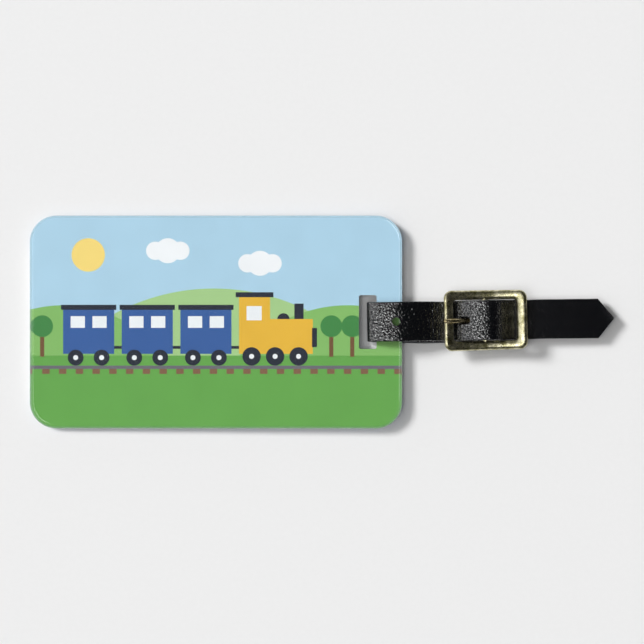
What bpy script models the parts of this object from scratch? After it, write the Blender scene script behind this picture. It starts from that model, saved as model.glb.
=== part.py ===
"""Luggage tag: a printed tag between two clear acrylic covers, on a leather strap with a brass buckle.

Frame: +X along the tag towards the strap's tip, +Y across it, +Z up, picture side up. The tag lies on the
plane z = 0, with the origin under the middle of its bounding box. Units are metres.

The strap is one strip of leather. From the end of its flap it runs round the buckle's centre bar, back under
the tag, up through the slot, over the tag, through the buckle and out to its pointed tip. It is cut where it
flexes, because every solid here is rigid.
"""

import math

import bmesh
import bpy
from mathutils import Vector

MM = 0.001

# Tag: business-card size with quarter-inch corners, built up from five layers
TAG_LENGTH = 88.9 * MM
TAG_WIDTH = 50.8 * MM
TAG_CORNER = 6.35 * MM
COVER_THICKNESS = 1.3 * MM
COVER_EDGE = 1.15 * MM
COVER_EDGE_STEPS = 4
COVER_CORNER_STEPS = 8
PRINT_THICKNESS = 0.15 * MM
CARD_THICKNESS = 0.3 * MM
PRINT_INSET = 0.25 * MM
BOND_LINE = 0.02 * MM
SLOT_LENGTH = 12.8 * MM
SLOT_WIDTH = 4.2 * MM
SLOT_CORNER = 0.5 * MM
SLOT_CENTRE = 80.7 * MM

# Strap
STRAP_WIDTH = 9.4 * MM
STRAP_THICKNESS = 1.2 * MM
STRAP_EDGE = 0.22 * MM
STRAP_YAW = math.radians(0.9)
LAYER_GAP = 0.05 * MM
LOWER_BOW = 0.6 * MM
BEND_FACE = -0.2 * MM
LOWER_BEND_RADIUS = 1.3 * MM
UPPER_BEND_RADIUS = 1.7 * MM
BEND_TOP = 5.28 * MM
BEND_LEAVE = math.radians(103)
RUN_CREST_PLACE = 6.7 * MM
RUN_CREST = 6.0 * MM
FLEX_CENTRE = 9.9 * MM
FLEX_GAP = 2.4 * MM
FLAP_END = 11.7 * MM
TIP_FLEX_CENTRE = 39.5 * MM
TIP_FLEX_GAP = 0.8 * MM
TIP_SHOULDER = 54.9 * MM
TIP_END = 58.6 * MM
TIP_DROP = 0.5 * MM
TIP_POINT_WIDTH = 0.5 * MM
HOLE_DIAMETER = 1.95 * MM
HOLE_OVER_TAG = 6.7 * MM
PRONG_HOLE_LENGTH = 3.1 * MM
PRONG_HOLE_WIDTH = 1.9 * MM
PRONG_HOLE_PLACE = 23.1 * MM

# Buckle
BAR_PLACE = 28.0 * MM
BAR_HEIGHT = 4.05 * MM
BAR_RADIUS = 0.9 * MM
BAR_CLEARANCE = 0.1 * MM
BUCKLE_YAW = math.radians(0.5)
FRAME_LENGTH = 19.8 * MM
FRAME_WIDTH_LEFT = 14.4 * MM
FRAME_WIDTH_RIGHT = 14.1 * MM
FRAME_BAR_LEFT = 2.2 * MM
FRAME_BAR_RIGHT = 2.5 * MM
FRAME_OPENING = 9.8 * MM
FRAME_CORNER = 1.9 * MM
FRAME_INNER_CORNER = 0.9 * MM
FRAME_CLEARANCE = 0.4 * MM
FRAME_THICKNESS = 1.8 * MM
FRAME_RISE = 1.2 * MM
FRAME_SQUARENESS = 2.5
PRONG_RADIUS = 0.575 * MM
PRONG_SLOT_WIDTH = 2.1 * MM
PRONG_TIP = 18.4 * MM
PRONG_TIP_ROUNDING = 0.46 * MM
PRONG_REST_GAP = 0.04 * MM

# Rivet that closes the fold round the bar
RIVET_PLACE = 14.3 * MM
RIVET_POST_RADIUS = 0.9 * MM
RIVET_BASE_RADIUS = 1.8 * MM
RIVET_BASE_THICKNESS = 0.3 * MM
RIVET_CAP_RADIUS = 1.75 * MM
RIVET_CAP_HEIGHT = 0.55 * MM
RIVET_CAP_RIM = 0.2 * MM
RIVET_CLEARANCE = 0.1 * MM
RIVET_SEAT = 0.05 * MM

# Levels and places that follow from the sizes above
TAG_THICKNESS = 2 * COVER_THICKNESS + 2 * PRINT_THICKNESS + CARD_THICKNESS + 4 * BOND_LINE
WEB_START = SLOT_CENTRE + SLOT_WIDTH / 2
TAG_TILT = math.asin((STRAP_THICKNESS + LAYER_GAP) / WEB_START)
TAG_SETTLE = COVER_EDGE * (math.sin(TAG_TILT) + math.cos(TAG_TILT) - 1)
TAG_LEAN = (TAG_THICKNESS - COVER_EDGE) * math.sin(TAG_TILT)
OVERALL_LENGTH = TAG_LEAN + SLOT_CENTRE * math.cos(TAG_TILT) + TIP_END * math.cos(STRAP_YAW)
TAG_X = TAG_LEAN - OVERALL_LENGTH / 2
STRAP_X = TAG_X + SLOT_CENTRE * math.cos(TAG_TILT)
LOWER_Z = STRAP_THICKNESS / 2
FLAP_Z = LOWER_Z + STRAP_THICKNESS + LAYER_GAP
UPPER_Z = FLAP_Z + STRAP_THICKNESS + LAYER_GAP
BAR = (BAR_PLACE, BAR_HEIGHT)
FOLD_RADIUS = BAR_RADIUS + BAR_CLEARANCE + STRAP_THICKNESS / 2
LOOP_RADIUS = BAR_RADIUS + BAR_CLEARANCE + PRONG_RADIUS
CREST_Z = BAR_HEIGHT + FOLD_RADIUS + STRAP_THICKNESS + LAYER_GAP
FOLD_START = math.radians(-70)
FOLD_END = math.radians(130)


def clear_scene():
    for item in list(bpy.data.objects):
        bpy.data.objects.remove(item, do_unlink=True)


def material(name, colour, roughness, metallic=0.0, transmission=0.0):
    made = bpy.data.materials.new(name)
    made.use_nodes = True
    shader = made.node_tree.nodes["Principled BSDF"]
    shader.inputs["Base Color"].default_value = (*colour, 1.0)
    shader.inputs["Roughness"].default_value = roughness
    shader.inputs["Metallic"].default_value = metallic
    shader.inputs["Transmission Weight"].default_value = transmission
    made.diffuse_color = (*colour, 1.0)
    return made


def empty(name, place, turn, parent=None):
    made = bpy.data.objects.new(name, None)
    made.location = place
    made.rotation_euler = turn
    made.parent = parent
    bpy.context.scene.collection.objects.link(made)
    return made


def add_object(name, shape, finish, parent, place=(0, 0, 0)):
    """Puts a bmesh in the scene as an object, smooth across its shallow edges."""
    bmesh.ops.recalc_face_normals(shape, faces=shape.faces)
    mesh = bpy.data.meshes.new(name)
    shape.to_mesh(mesh)
    shape.free()
    mesh.shade_smooth()
    mesh.set_sharp_from_angle(angle=math.radians(35))
    if finish:
        mesh.materials.append(finish)
    made = bpy.data.objects.new(name, mesh)
    made.location = place
    made.parent = parent
    bpy.context.scene.collection.objects.link(made)
    return made


def combine(target, tool, operation):
    """Adds a Boolean of a hidden tool object to the target."""
    tool.hide_render = True
    tool.display_type = "WIRE"
    step = target.modifiers.new(tool.name, "BOOLEAN")
    step.operation = operation
    step.solver = "EXACT"
    step.object = tool


def skin_rings(rings, closed=False):
    """A solid through a row of rings with the same number of points each, capped unless it closes on itself."""
    shape = bmesh.new()
    rows = [[shape.verts.new(point) for point in ring] for ring in rings]
    pairs = list(zip(rows, rows[1:]))
    if closed:
        pairs.append((rows[-1], rows[0]))
    for first, second in pairs:
        for i in range(len(first)):
            j = (i + 1) % len(first)
            shape.faces.new((first[i], first[j], second[j], second[i]))
    if not closed:
        shape.faces.new(rows[0])
        shape.faces.new(rows[-1])
    return shape


def arc(centre, radius, start, end, steps):
    turns = [start + (end - start) * i / steps for i in range(steps + 1)]
    return [(centre[0] + radius * math.cos(a), centre[1] + radius * math.sin(a)) for a in turns]


def curve(start, start_handle, end_handle, end, steps):
    """Points of a cubic Bezier curve."""
    points = []
    for i in range(steps + 1):
        t = i / steps
        weights = ((1 - t) ** 3, 3 * t * (1 - t) ** 2, 3 * t * t * (1 - t), t**3)
        corners = (start, start_handle, end_handle, end)
        points.append(tuple(sum(w * c[axis] for w, c in zip(weights, corners)) for axis in (0, 1)))
    return points


def joined(*stretches):
    """One path from stretches that meet end to end, with each meeting point kept once."""
    path = []
    for point in (point for stretch in stretches for point in stretch):
        if not path or math.dist(point, path[-1]) > 1e-7:
            path.append(point)
    return path


def trimmed(path, start, end):
    """The part of a path that runs forwards in X, cut to the stretch between two places."""
    return [height_at(path, start), *(p for p in path if start < p[0] < end), height_at(path, end)]


def height_at(path, place):
    for (x0, z0), (x1, z1) in zip(path, path[1:]):
        if x0 <= place <= x1:
            return (place, z0 + (z1 - z0) * (place - x0) / (x1 - x0))
    raise ValueError(f"no part of the path is at {place}")


def directions(path):
    """The unit tangent at each point of a path in the XZ plane."""
    found = []
    for i in range(len(path)):
        before = Vector(path[max(i - 1, 0)])
        here = Vector(path[i])
        after = Vector(path[min(i + 1, len(path) - 1)])
        along = Vector((0, 0))
        for step in (here - before, after - here):
            if step.length > 0:
                along += step.normalized()
        found.append(along.normalized())
    return found


# ---------------------------------------------------------------- outlines


def rounded_rectangle(x0, x1, half_width, corner, steps):
    corners = (
        (x1 - corner, half_width - corner, 0),
        (x0 + corner, half_width - corner, 1),
        (x0 + corner, -half_width + corner, 2),
        (x1 - corner, -half_width + corner, 3),
    )
    outline = []
    for x, y, quarter in corners:
        start = quarter * math.pi / 2
        outline += arc((x, y), corner, start, start + math.pi / 2, steps)
    return outline


def tapered_outline(x0, x1, half_left, half_right, corner, corner_steps=6, side_steps=6):
    """A rounded outline, wider at one end, with points along its sides so that they can arch."""
    corners = (
        (x1, half_right, -1, -1, 0),
        (x0, half_left, 1, -1, 1),
        (x0, -half_left, 1, 1, 2),
        (x1, -half_right, -1, 1, 3),
    )
    turns = []
    for x, y, inward_x, inward_y, quarter in corners:
        centre = (x + inward_x * corner, y + inward_y * corner)
        start = quarter * math.pi / 2
        turns.append(arc(centre, corner, start, start + math.pi / 2, corner_steps))
    outline = []
    for i, turn in enumerate(turns):
        outline += turn
        start = Vector(turn[-1])
        end = Vector(turns[(i + 1) % 4][0])
        outline += [tuple(start.lerp(end, k / side_steps)) for k in range(1, side_steps)]
    return outline


# --------------------------------------------------------------------- tag


def slot_cutter(parent):
    outline = rounded_rectangle(
        SLOT_CENTRE - SLOT_WIDTH / 2, SLOT_CENTRE + SLOT_WIDTH / 2, SLOT_LENGTH / 2, SLOT_CORNER, 5
    )
    margin = 1.0 * MM
    rings = [[(x, y, z) for x, y in outline] for z in (-margin, TAG_THICKNESS + margin)]
    return add_object("slot_cutter", skin_rings(rings), None, parent)


def tag_outline(inset, steps):
    return rounded_rectangle(
        inset, TAG_LENGTH - inset, TAG_WIDTH / 2 - inset, TAG_CORNER - inset, steps
    )


def cover(name, bottom, face_up, finish, parent, cutter):
    """A clear cover: flat inside, with its outer edge rounded over."""
    levels = [(0.0, 0.0), (0.0, COVER_THICKNESS - COVER_EDGE)]
    for i in range(1, COVER_EDGE_STEPS + 1):
        turn = math.pi / 2 * i / COVER_EDGE_STEPS
        rise = COVER_THICKNESS - COVER_EDGE + COVER_EDGE * math.sin(turn)
        levels.append((COVER_EDGE * (1 - math.cos(turn)), rise))
    rings = []
    for inset, rise in levels:
        height = bottom + rise if face_up else bottom + COVER_THICKNESS - rise
        rings.append([(x, y, height) for x, y in tag_outline(inset, COVER_CORNER_STEPS)])
    made = add_object(name, skin_rings(rings), finish, parent)
    combine(made, cutter, "DIFFERENCE")
    return made


def sheet(name, bottom, thickness, finish, parent, cutter):
    outline = tag_outline(PRINT_INSET, 10)
    rings = [[(x, y, z) for x, y in outline] for z in (bottom, bottom + thickness)]
    made = add_object(name, skin_rings(rings), finish, parent)
    combine(made, cutter, "DIFFERENCE")
    return made


def build_tag():
    clear = material("clear_acrylic", (0.9, 0.95, 0.97), 0.04, transmission=1.0)
    picture = material("picture_print", (0.28, 0.53, 0.08), 0.4)
    back = material("back_print", (0.86, 0.88, 0.9), 0.4)
    card = material("white_card", (0.88, 0.88, 0.86), 0.7)
    pose = empty("tag_pose", (TAG_X, 0, -TAG_SETTLE), (0, -TAG_TILT, 0))
    cutter = slot_cutter(pose)
    level = 0.0
    cover("rear_cover", level, False, clear, pose, cutter)
    level += COVER_THICKNESS + BOND_LINE
    sheet("rear_print", level, PRINT_THICKNESS, back, pose, cutter)
    level += PRINT_THICKNESS + BOND_LINE
    sheet("core_card", level, CARD_THICKNESS, card, pose, cutter)
    level += CARD_THICKNESS + BOND_LINE
    sheet("front_print", level, PRINT_THICKNESS, picture, pose, cutter)
    level += PRINT_THICKNESS + BOND_LINE
    cover("front_cover", level, True, clear, pose, cutter)


# ------------------------------------------------------------------- strap


def strap_section(half_width, thickness):
    """The strip's cross-section, with its long edges broken."""
    h = thickness / 2
    e = min(STRAP_EDGE, half_width / 2)
    w = half_width
    return ((-w, -h + e), (-w + e, -h), (w - e, -h), (w, -h + e), (w, h - e), (w - e, h), (-w + e, h), (-w, h - e))


def ribbon(name, path, finish, parent, width=STRAP_WIDTH, thickness=STRAP_THICKNESS, shift=None, taper=None):
    """A strip that follows a path in the XZ plane. shift and taper give its sideways place and width by X."""
    rings = []
    for (x, z), along in zip(path, directions(path)):
        half = (taper(x) if taper else width) / 2
        aside = shift(x, z) if shift else 0.0
        rings.append(
            [(x - along.y * v, aside + u, z + along.x * v) for u, v in strap_section(half, thickness)]
        )
    return add_object(name, skin_rings(rings), finish, parent)


def lower_shift(x, z):
    """The lower run bows aside between the tag and the buckle, and is in line again at the bend and the fold."""
    share = min(max(x / BAR_PLACE, 0.0), 1.0)
    low = min(max(1 - (z - LOWER_Z) / UPPER_Z, 0.0), 1.0)
    return -LOWER_BOW * math.sin(math.pi * share) * low


def bend_path():
    """Under the tag's web, up through the slot and back over the web."""
    upright = BEND_FACE + STRAP_THICKNESS / 2
    end = FLEX_CENTRE - FLEX_GAP / 2
    low = (upright + LOWER_BEND_RADIUS, LOWER_Z + LOWER_BEND_RADIUS)
    high = (upright + UPPER_BEND_RADIUS, BEND_TOP - UPPER_BEND_RADIUS * math.sin(BEND_LEAVE))
    middle = (end + low[0]) / 2
    turn = arc(high, UPPER_BEND_RADIUS, math.pi, BEND_LEAVE, 9)
    return joined(
        [(end, LOWER_Z), (middle, LOWER_Z)],
        arc(low, LOWER_BEND_RADIUS, -math.pi / 2, -math.pi, 7),
        turn,
        trimmed(upper_path(), turn[-1][0] + 0.001 * MM, end),
    )


def upper_path():
    """From above the slot, over the tag's edge, under the frame, over the fold and out under the frame."""
    bend_end = BEND_FACE + STRAP_THICKNESS / 2 + UPPER_BEND_RADIUS * (1 + math.cos(BEND_LEAVE))
    climb = math.tan(BEND_LEAVE - math.pi / 2)
    frame_left = BAR_PLACE - FRAME_LENGTH / 2
    frame_right = BAR_PLACE + FRAME_LENGTH / 2
    start = (bend_end, BEND_TOP)
    after_bend = (bend_end + 1.8 * MM, BEND_TOP + 1.8 * MM * climb)
    before_top = (RUN_CREST_PLACE - 1.8 * MM, RUN_CREST)
    top = (RUN_CREST_PLACE, RUN_CREST)
    after_top = (RUN_CREST_PLACE + 3.8 * MM, RUN_CREST)
    before_left = (frame_left - 2.8 * MM, UPPER_Z)
    under_left = (frame_left + 0.4 * MM, UPPER_Z)
    rise = (frame_left + 1.9 * MM, UPPER_Z)
    after_rise = (frame_left + 2.8 * MM, UPPER_Z)
    before_crest = (BAR_PLACE - 4.8 * MM, CREST_Z)
    crest = (BAR_PLACE + 0.4 * MM, CREST_Z)
    after_crest = (BAR_PLACE + 3.4 * MM, CREST_Z)
    before_right = (BAR_PLACE + 4.6 * MM, UPPER_Z)
    under_right = (frame_right - FRAME_BAR_RIGHT - 0.3 * MM, UPPER_Z)
    return joined(
        curve(start, after_bend, before_top, top, 8),
        curve(top, after_top, before_left, under_left, 14),
        curve(rise, after_rise, before_crest, crest, 18),
        curve(crest, after_crest, before_right, under_right, 16),
        [(TIP_FLEX_CENTRE, UPPER_Z)],
    )


def fold_path():
    """The lower run, the fold round the bar and the flap that comes back on top."""
    start = FLEX_CENTRE + FLEX_GAP / 2
    fold = arc(BAR, FOLD_RADIUS, FOLD_START, FOLD_END, 16)
    enter, leave = fold[0], fold[-1]
    enter_reach = 3.2 * MM
    enter_slope = math.tan(FOLD_START + math.pi / 2)
    before_fold = (enter[0] - enter_reach, enter[1] - enter_reach * enter_slope)
    leave_reach = 2.6 * MM
    fall = FOLD_END + math.pi / 2
    after_fold = (leave[0] + leave_reach * math.cos(fall), leave[1] + leave_reach * math.sin(fall))
    lift = (19.8 * MM, LOWER_Z)
    after_lift = (23.2 * MM, LOWER_Z)
    before_flap = (23.2 * MM, FLAP_Z)
    flap = (20.6 * MM, FLAP_Z)
    return joined(
        [(start, LOWER_Z), lift],
        curve(lift, after_lift, before_fold, enter, 12),
        fold,
        curve(leave, after_fold, before_flap, flap, 12),
        [(FLAP_END, FLAP_Z)],
    )


def post_cutter(name, place, radius, bottom, top, parent, sides=24):
    turns = [2 * math.pi * i / sides for i in range(sides)]
    rings = [
        [(place + radius * math.cos(a), radius * math.sin(a), z) for a in turns] for z in (bottom, top)
    ]
    return add_object(name, skin_rings(rings), None, parent)


def prong_hole_cutter(parent):
    """A long round-ended hole, square to the strip where the prong comes up through it."""
    path = upper_path()
    x, z = height_at(path, PRONG_HOLE_PLACE)
    ahead = height_at(path, PRONG_HOLE_PLACE + 0.3 * MM)
    slope = math.atan2(ahead[1] - z, ahead[0] - x)
    radius = PRONG_HOLE_WIDTH / 2
    half = PRONG_HOLE_LENGTH / 2 - radius
    outline = arc((half, 0), radius, -math.pi / 2, math.pi / 2, 8)
    outline += arc((-half, 0), radius, math.pi / 2, 3 * math.pi / 2, 8)
    rings = [[(u, v, w) for u, v in outline] for w in (-STRAP_THICKNESS, STRAP_THICKNESS)]
    made = add_object("prong_hole_cutter", skin_rings(rings), None, parent, (x, 0, z))
    made.rotation_euler = (0, -slope, 0)
    return made


def fold_slot_cutter(parent):
    """The slot that lets the prong's loop turn inside the fold, cut square to the strip all the way round."""
    start_below = BAR_PLACE - 2.6 * MM
    end_above = BAR_PLACE - 3.7 * MM
    path = [p for p in fold_path() if p[0] > start_below or p[0] > end_above and p[1] > UPPER_Z - 0.2 * MM]
    return ribbon("fold_slot_cutter", path, None, parent, PRONG_SLOT_WIDTH, STRAP_THICKNESS + 0.8 * MM)


def tip_width(x):
    """Full width up to the shoulder, then a straight taper to a slightly blunt point."""
    share = min(max((x - TIP_SHOULDER) / (TIP_END - TIP_SHOULDER), 0.0), 1.0)
    return STRAP_WIDTH * (1 - share) + TIP_POINT_WIDTH * share


def tip_path():
    start = TIP_FLEX_CENTRE + TIP_FLEX_GAP / 2
    end = (TIP_END, UPPER_Z - TIP_DROP)
    path = curve((start, UPPER_Z), (46 * MM, UPPER_Z), (52 * MM, UPPER_Z - 0.4 * TIP_DROP), end, 12)
    return joined(
        trimmed(path, start, TIP_SHOULDER),
        trimmed(path, TIP_SHOULDER, TIP_END),
    )


def build_strap(pose):
    leather = material("black_leather", (0.012, 0.012, 0.013), 0.42)
    bend = ribbon("strap_bend", bend_path(), leather, pose, shift=lower_shift)
    run = height_at(upper_path(), HOLE_OVER_TAG)[1]
    hole = post_cutter(
        "strap_hole_cutter", HOLE_OVER_TAG, HOLE_DIAMETER / 2,
        run - STRAP_THICKNESS, run + STRAP_THICKNESS, pose,
    )
    combine(bend, hole, "DIFFERENCE")

    lower = ribbon("strap_lower", fold_path(), leather, pose, shift=lower_shift)
    combine(lower, fold_slot_cutter(pose), "DIFFERENCE")
    aside = lower_shift(RIVET_PLACE, LOWER_Z)
    bore = post_cutter(
        "rivet_hole_cutter", RIVET_PLACE, RIVET_POST_RADIUS + RIVET_CLEARANCE,
        -STRAP_THICKNESS, UPPER_Z, pose,
    )
    seat = post_cutter(
        "rivet_seat_cutter", RIVET_PLACE, RIVET_BASE_RADIUS + RIVET_CLEARANCE,
        -STRAP_THICKNESS, RIVET_BASE_THICKNESS + RIVET_CLEARANCE, pose, 32,
    )
    for cutter in (bore, seat):
        cutter.location.y = aside
        combine(lower, cutter, "DIFFERENCE")

    upper_end = TIP_FLEX_CENTRE - TIP_FLEX_GAP / 2
    path = trimmed(upper_path(), FLEX_CENTRE + FLEX_GAP / 2, upper_end)
    upper = ribbon("strap_upper", path, leather, pose)
    combine(upper, prong_hole_cutter(pose), "DIFFERENCE")

    pivot = empty("tip_pivot", (TIP_FLEX_CENTRE, 0, UPPER_Z), (0, 0, 0), pose)
    tip = ribbon("strap_tip", tip_path(), leather, pivot, taper=tip_width)
    tip.location = (-TIP_FLEX_CENTRE, 0, -UPPER_Z)


# ------------------------------------------------------------------ buckle


def frame_bottom(x):
    """The underside of the frame at a distance along it from the centre bar: low at the bar and rising to its ends."""
    half = FRAME_LENGTH / 2
    inner_edge = half - FRAME_BAR_LEFT
    lowest = UPPER_Z + STRAP_THICKNESS / 2 + FRAME_CLEARANCE - FRAME_RISE * (inner_edge / half) ** 2
    return lowest + FRAME_RISE * (x / half) ** 2 - BAR_HEIGHT


def frame_section(steps=16):
    """A soft rounded square, from the opening (0) to the outside (1) and from the bottom (0) to the top (1)."""
    power = 2 / FRAME_SQUARENESS
    section = []
    for i in range(steps):
        turn = 2 * math.pi * (i + 0.5) / steps
        across, up = math.cos(turn), math.sin(turn)
        section.append(
            (
                0.5 + 0.5 * math.copysign(abs(across) ** power, across),
                0.5 + 0.5 * math.copysign(abs(up) ** power, up),
            )
        )
    return section


def build_frame(pivot):
    """The cast frame, with its centre bar along the pivot's Y axis. Its ends rise clear of the strap."""
    brass = material("buckle_brass", (0.62, 0.55, 0.36), 0.28, metallic=1.0)
    half = FRAME_LENGTH / 2
    outer = tapered_outline(-half, half, FRAME_WIDTH_LEFT / 2, FRAME_WIDTH_RIGHT / 2, FRAME_CORNER)
    inner = tapered_outline(
        -half + FRAME_BAR_LEFT, half - FRAME_BAR_RIGHT, FRAME_OPENING / 2, FRAME_OPENING / 2, FRAME_INNER_CORNER
    )
    rings = []
    for (x_out, y_out), (x_in, y_in) in zip(outer, inner):
        ring = []
        for across, up in frame_section():
            x = x_in + (x_out - x_in) * across
            y = y_in + (y_out - y_in) * across
            ring.append((x, y, frame_bottom(x) + FRAME_THICKNESS * up))
        rings.append(ring)
    frame = add_object("buckle_frame", skin_rings(rings, closed=True), brass, pivot)

    reach = FRAME_OPENING / 2 + FRAME_BAR_LEFT / 2
    turns = [2 * math.pi * i / 24 for i in range(24)]
    bar = [[(BAR_RADIUS * math.cos(a), y, BAR_RADIUS * math.sin(a)) for a in turns] for y in (-reach, reach)]
    combine(frame, add_object("centre_bar", skin_rings(bar), None, pivot), "UNION")


def prong_path():
    """From the open end of its loop round the bar, through the strap and over the frame's far bar."""
    leave = math.radians(125)
    loop = arc((0, 0), LOOP_RADIUS, math.radians(-172), leave, 26)
    start = loop[-1]
    reach = 1.2 * MM
    fall = leave + math.pi / 2
    after_loop = (start[0] + reach * math.cos(fall), start[1] + reach * math.sin(fall))
    dip = (-3.5 * MM, 0.72 * MM)
    before_dip = (dip[0] + 0.8 * MM, dip[1])
    after_dip = (dip[0] - 0.9 * MM, dip[1])
    rest = frame_bottom(FRAME_LENGTH / 2) + FRAME_THICKNESS + PRONG_RADIUS + PRONG_REST_GAP
    over = (-8.0 * MM, rest)
    before_over = (over[0] + 1.6 * MM, rest)
    tip = (PRONG_TIP - BAR_PLACE, rest)
    return joined(
        loop,
        curve(start, after_loop, before_dip, dip, 6),
        curve(dip, after_dip, before_over, over, 10),
        [((over[0] + tip[0]) / 2, rest), tip],
    )


def wire_ring(point, along, radius, sides=12):
    """A circle round a point of a path in the XZ plane, square to the path."""
    ring = []
    for i in range(sides):
        turn = 2 * math.pi * i / sides
        u, v = radius * math.cos(turn), radius * math.sin(turn)
        ring.append((point[0] - along.y * v, u, point[1] + along.x * v))
    return ring


def build_prong(pivot):
    brass = material("prong_brass", (0.66, 0.58, 0.38), 0.25, metallic=1.0)
    path = prong_path()
    headings = directions(path)
    rings = [wire_ring(point, along, PRONG_RADIUS) for point, along in zip(path, headings)]
    for turn in (math.radians(40), math.radians(70)):
        centre = Vector(path[-1]) + headings[-1] * PRONG_TIP_ROUNDING * math.sin(turn)
        rings.append(wire_ring(centre, headings[-1], PRONG_RADIUS * math.cos(turn)))
    add_object("buckle_prong", skin_rings(rings), brass, pivot)


def turned(name, profile, finish, parent, place, sides=24):
    """A solid of revolution about Z from (radius, height) points, open only at its two flat ends."""
    rings = []
    for radius, height in profile:
        turns = [2 * math.pi * i / sides for i in range(sides)]
        rings.append([(radius * math.cos(a), radius * math.sin(a), height) for a in turns])
    return add_object(name, skin_rings(rings), finish, parent, place)


def build_rivet(pose):
    brass = material("rivet_brass", (0.6, 0.5, 0.3), 0.35, metallic=1.0)
    place = (RIVET_PLACE, lower_shift(RIVET_PLACE, LOWER_Z), 0)
    flange_top = RIVET_SEAT + RIVET_BASE_THICKNESS
    post_top = FLAP_Z + STRAP_THICKNESS / 2
    cap_bottom = post_top + BOND_LINE
    post = [
        (RIVET_BASE_RADIUS, RIVET_SEAT), (RIVET_BASE_RADIUS, flange_top),
        (RIVET_POST_RADIUS, flange_top), (RIVET_POST_RADIUS, post_top),
    ]
    turned("rivet_post", post, brass, pose, place)
    rim_top = cap_bottom + RIVET_CAP_RIM
    crown = RIVET_CAP_HEIGHT - RIVET_CAP_RIM
    dome = [(RIVET_CAP_RADIUS, cap_bottom), (RIVET_CAP_RADIUS, rim_top)]
    for i in range(1, 6):
        turn = math.pi / 2 * i / 6
        dome.append((RIVET_CAP_RADIUS * math.cos(turn), rim_top + crown * math.sin(turn)))
    turned("rivet_cap", dome, brass, pose, place)


def main():
    clear_scene()
    build_tag()
    strap_pose = empty("strap_pose", (STRAP_X, 0, 0), (0, 0, STRAP_YAW))
    build_strap(strap_pose)
    build_rivet(strap_pose)
    bar_pivot = empty("bar_pivot", (BAR_PLACE, 0, BAR_HEIGHT), (0, 0, BUCKLE_YAW), strap_pose)
    build_frame(bar_pivot)
    build_prong(bar_pivot)


main()
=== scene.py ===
import math
import random

import bmesh
import bpy
from mathutils import Matrix, Vector, geometry


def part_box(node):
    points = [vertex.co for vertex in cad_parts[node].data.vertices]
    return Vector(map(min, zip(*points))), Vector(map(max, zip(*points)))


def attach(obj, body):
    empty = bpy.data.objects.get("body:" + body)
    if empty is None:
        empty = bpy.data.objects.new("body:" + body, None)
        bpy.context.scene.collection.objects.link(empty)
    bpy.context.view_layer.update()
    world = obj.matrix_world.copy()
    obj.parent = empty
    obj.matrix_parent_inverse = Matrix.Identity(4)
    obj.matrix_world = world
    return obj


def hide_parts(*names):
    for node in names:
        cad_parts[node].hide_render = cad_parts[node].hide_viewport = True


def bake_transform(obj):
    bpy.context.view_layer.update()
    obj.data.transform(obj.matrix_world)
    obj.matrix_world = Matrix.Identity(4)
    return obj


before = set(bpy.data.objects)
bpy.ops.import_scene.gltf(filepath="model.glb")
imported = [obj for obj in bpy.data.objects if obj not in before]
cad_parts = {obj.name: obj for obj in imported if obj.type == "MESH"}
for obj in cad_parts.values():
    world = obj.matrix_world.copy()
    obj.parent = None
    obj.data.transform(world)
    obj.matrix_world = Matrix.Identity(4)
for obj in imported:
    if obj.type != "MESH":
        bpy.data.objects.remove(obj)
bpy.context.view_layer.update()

MM = 0.001
TAU = 2 * math.pi

# Tag
TAG_LENGTH, TAG_WIDTH, TAG_CORNER = 88.9 * MM, 50.8 * MM, 6.35 * MM
COVER, COVER_EDGE = 1.3 * MM, 1.15 * MM
PRINT, CARD, PRINT_INSET, BOND = 0.15 * MM, 0.3 * MM, 0.25 * MM, 0.02 * MM
SLOT_LENGTH, SLOT_WIDTH, SLOT_CORNER, SLOT_CENTRE = 12.8 * MM, 4.2 * MM, 0.5 * MM, 80.7 * MM
TAG_THICKNESS = 2 * COVER + 2 * PRINT + CARD + 4 * BOND

# Strap
STRAP_WIDTH, STRAP = 9.4 * MM, 1.2 * MM
FACE_ROUNDING, BACK_ROUNDING = 0.24 * MM, 0.16 * MM
LAYER_GAP = 0.05 * MM
LOWER_BOW = 0.6 * MM
BEND_FACE, LOWER_BEND, UPPER_BEND = -0.2 * MM, 1.3 * MM, 1.7 * MM
BEND_TOP, BEND_LEAVE = 5.28 * MM, math.radians(103)
RUN_CREST_PLACE, RUN_CREST = 6.7 * MM, 6.0 * MM
FLAP_END, TIP_FLEX, TIP_SHOULDER, TIP_END = 11.7 * MM, 39.5 * MM, 54.9 * MM, 58.6 * MM
TIP_DROP, TIP_POINT = 0.5 * MM, 0.5 * MM
TIP_SEAM = 36.8 * MM
FLEX = 9.9 * MM

# Buckle
BAR_PLACE, BAR_HEIGHT, BAR_RADIUS, BAR_CLEARANCE = 28.0 * MM, 4.05 * MM, 0.9 * MM, 0.1 * MM
FRAME_LENGTH, FRAME_LEFT, FRAME_RIGHT = 19.8 * MM, 14.4 * MM, 14.1 * MM
BAR_LEFT, BAR_RIGHT, OPENING = 2.2 * MM, 2.5 * MM, 9.8 * MM
FRAME_CORNER, INNER_CORNER = 1.9 * MM, 0.9 * MM
FRAME_CLEARANCE, FRAME_THICKNESS, FRAME_RISE = 0.4 * MM, 1.8 * MM, 1.2 * MM
PRONG_RADIUS, PRONG_TIP = 0.575 * MM, 18.4 * MM
FRAME_ROUNDNESS = 2 / 2.5
BUCKLE_ENTRY, BUCKLE_EXIT = 18.5 * MM, 36.6 * MM
RIVET_PLACE = 14.3 * MM

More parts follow.
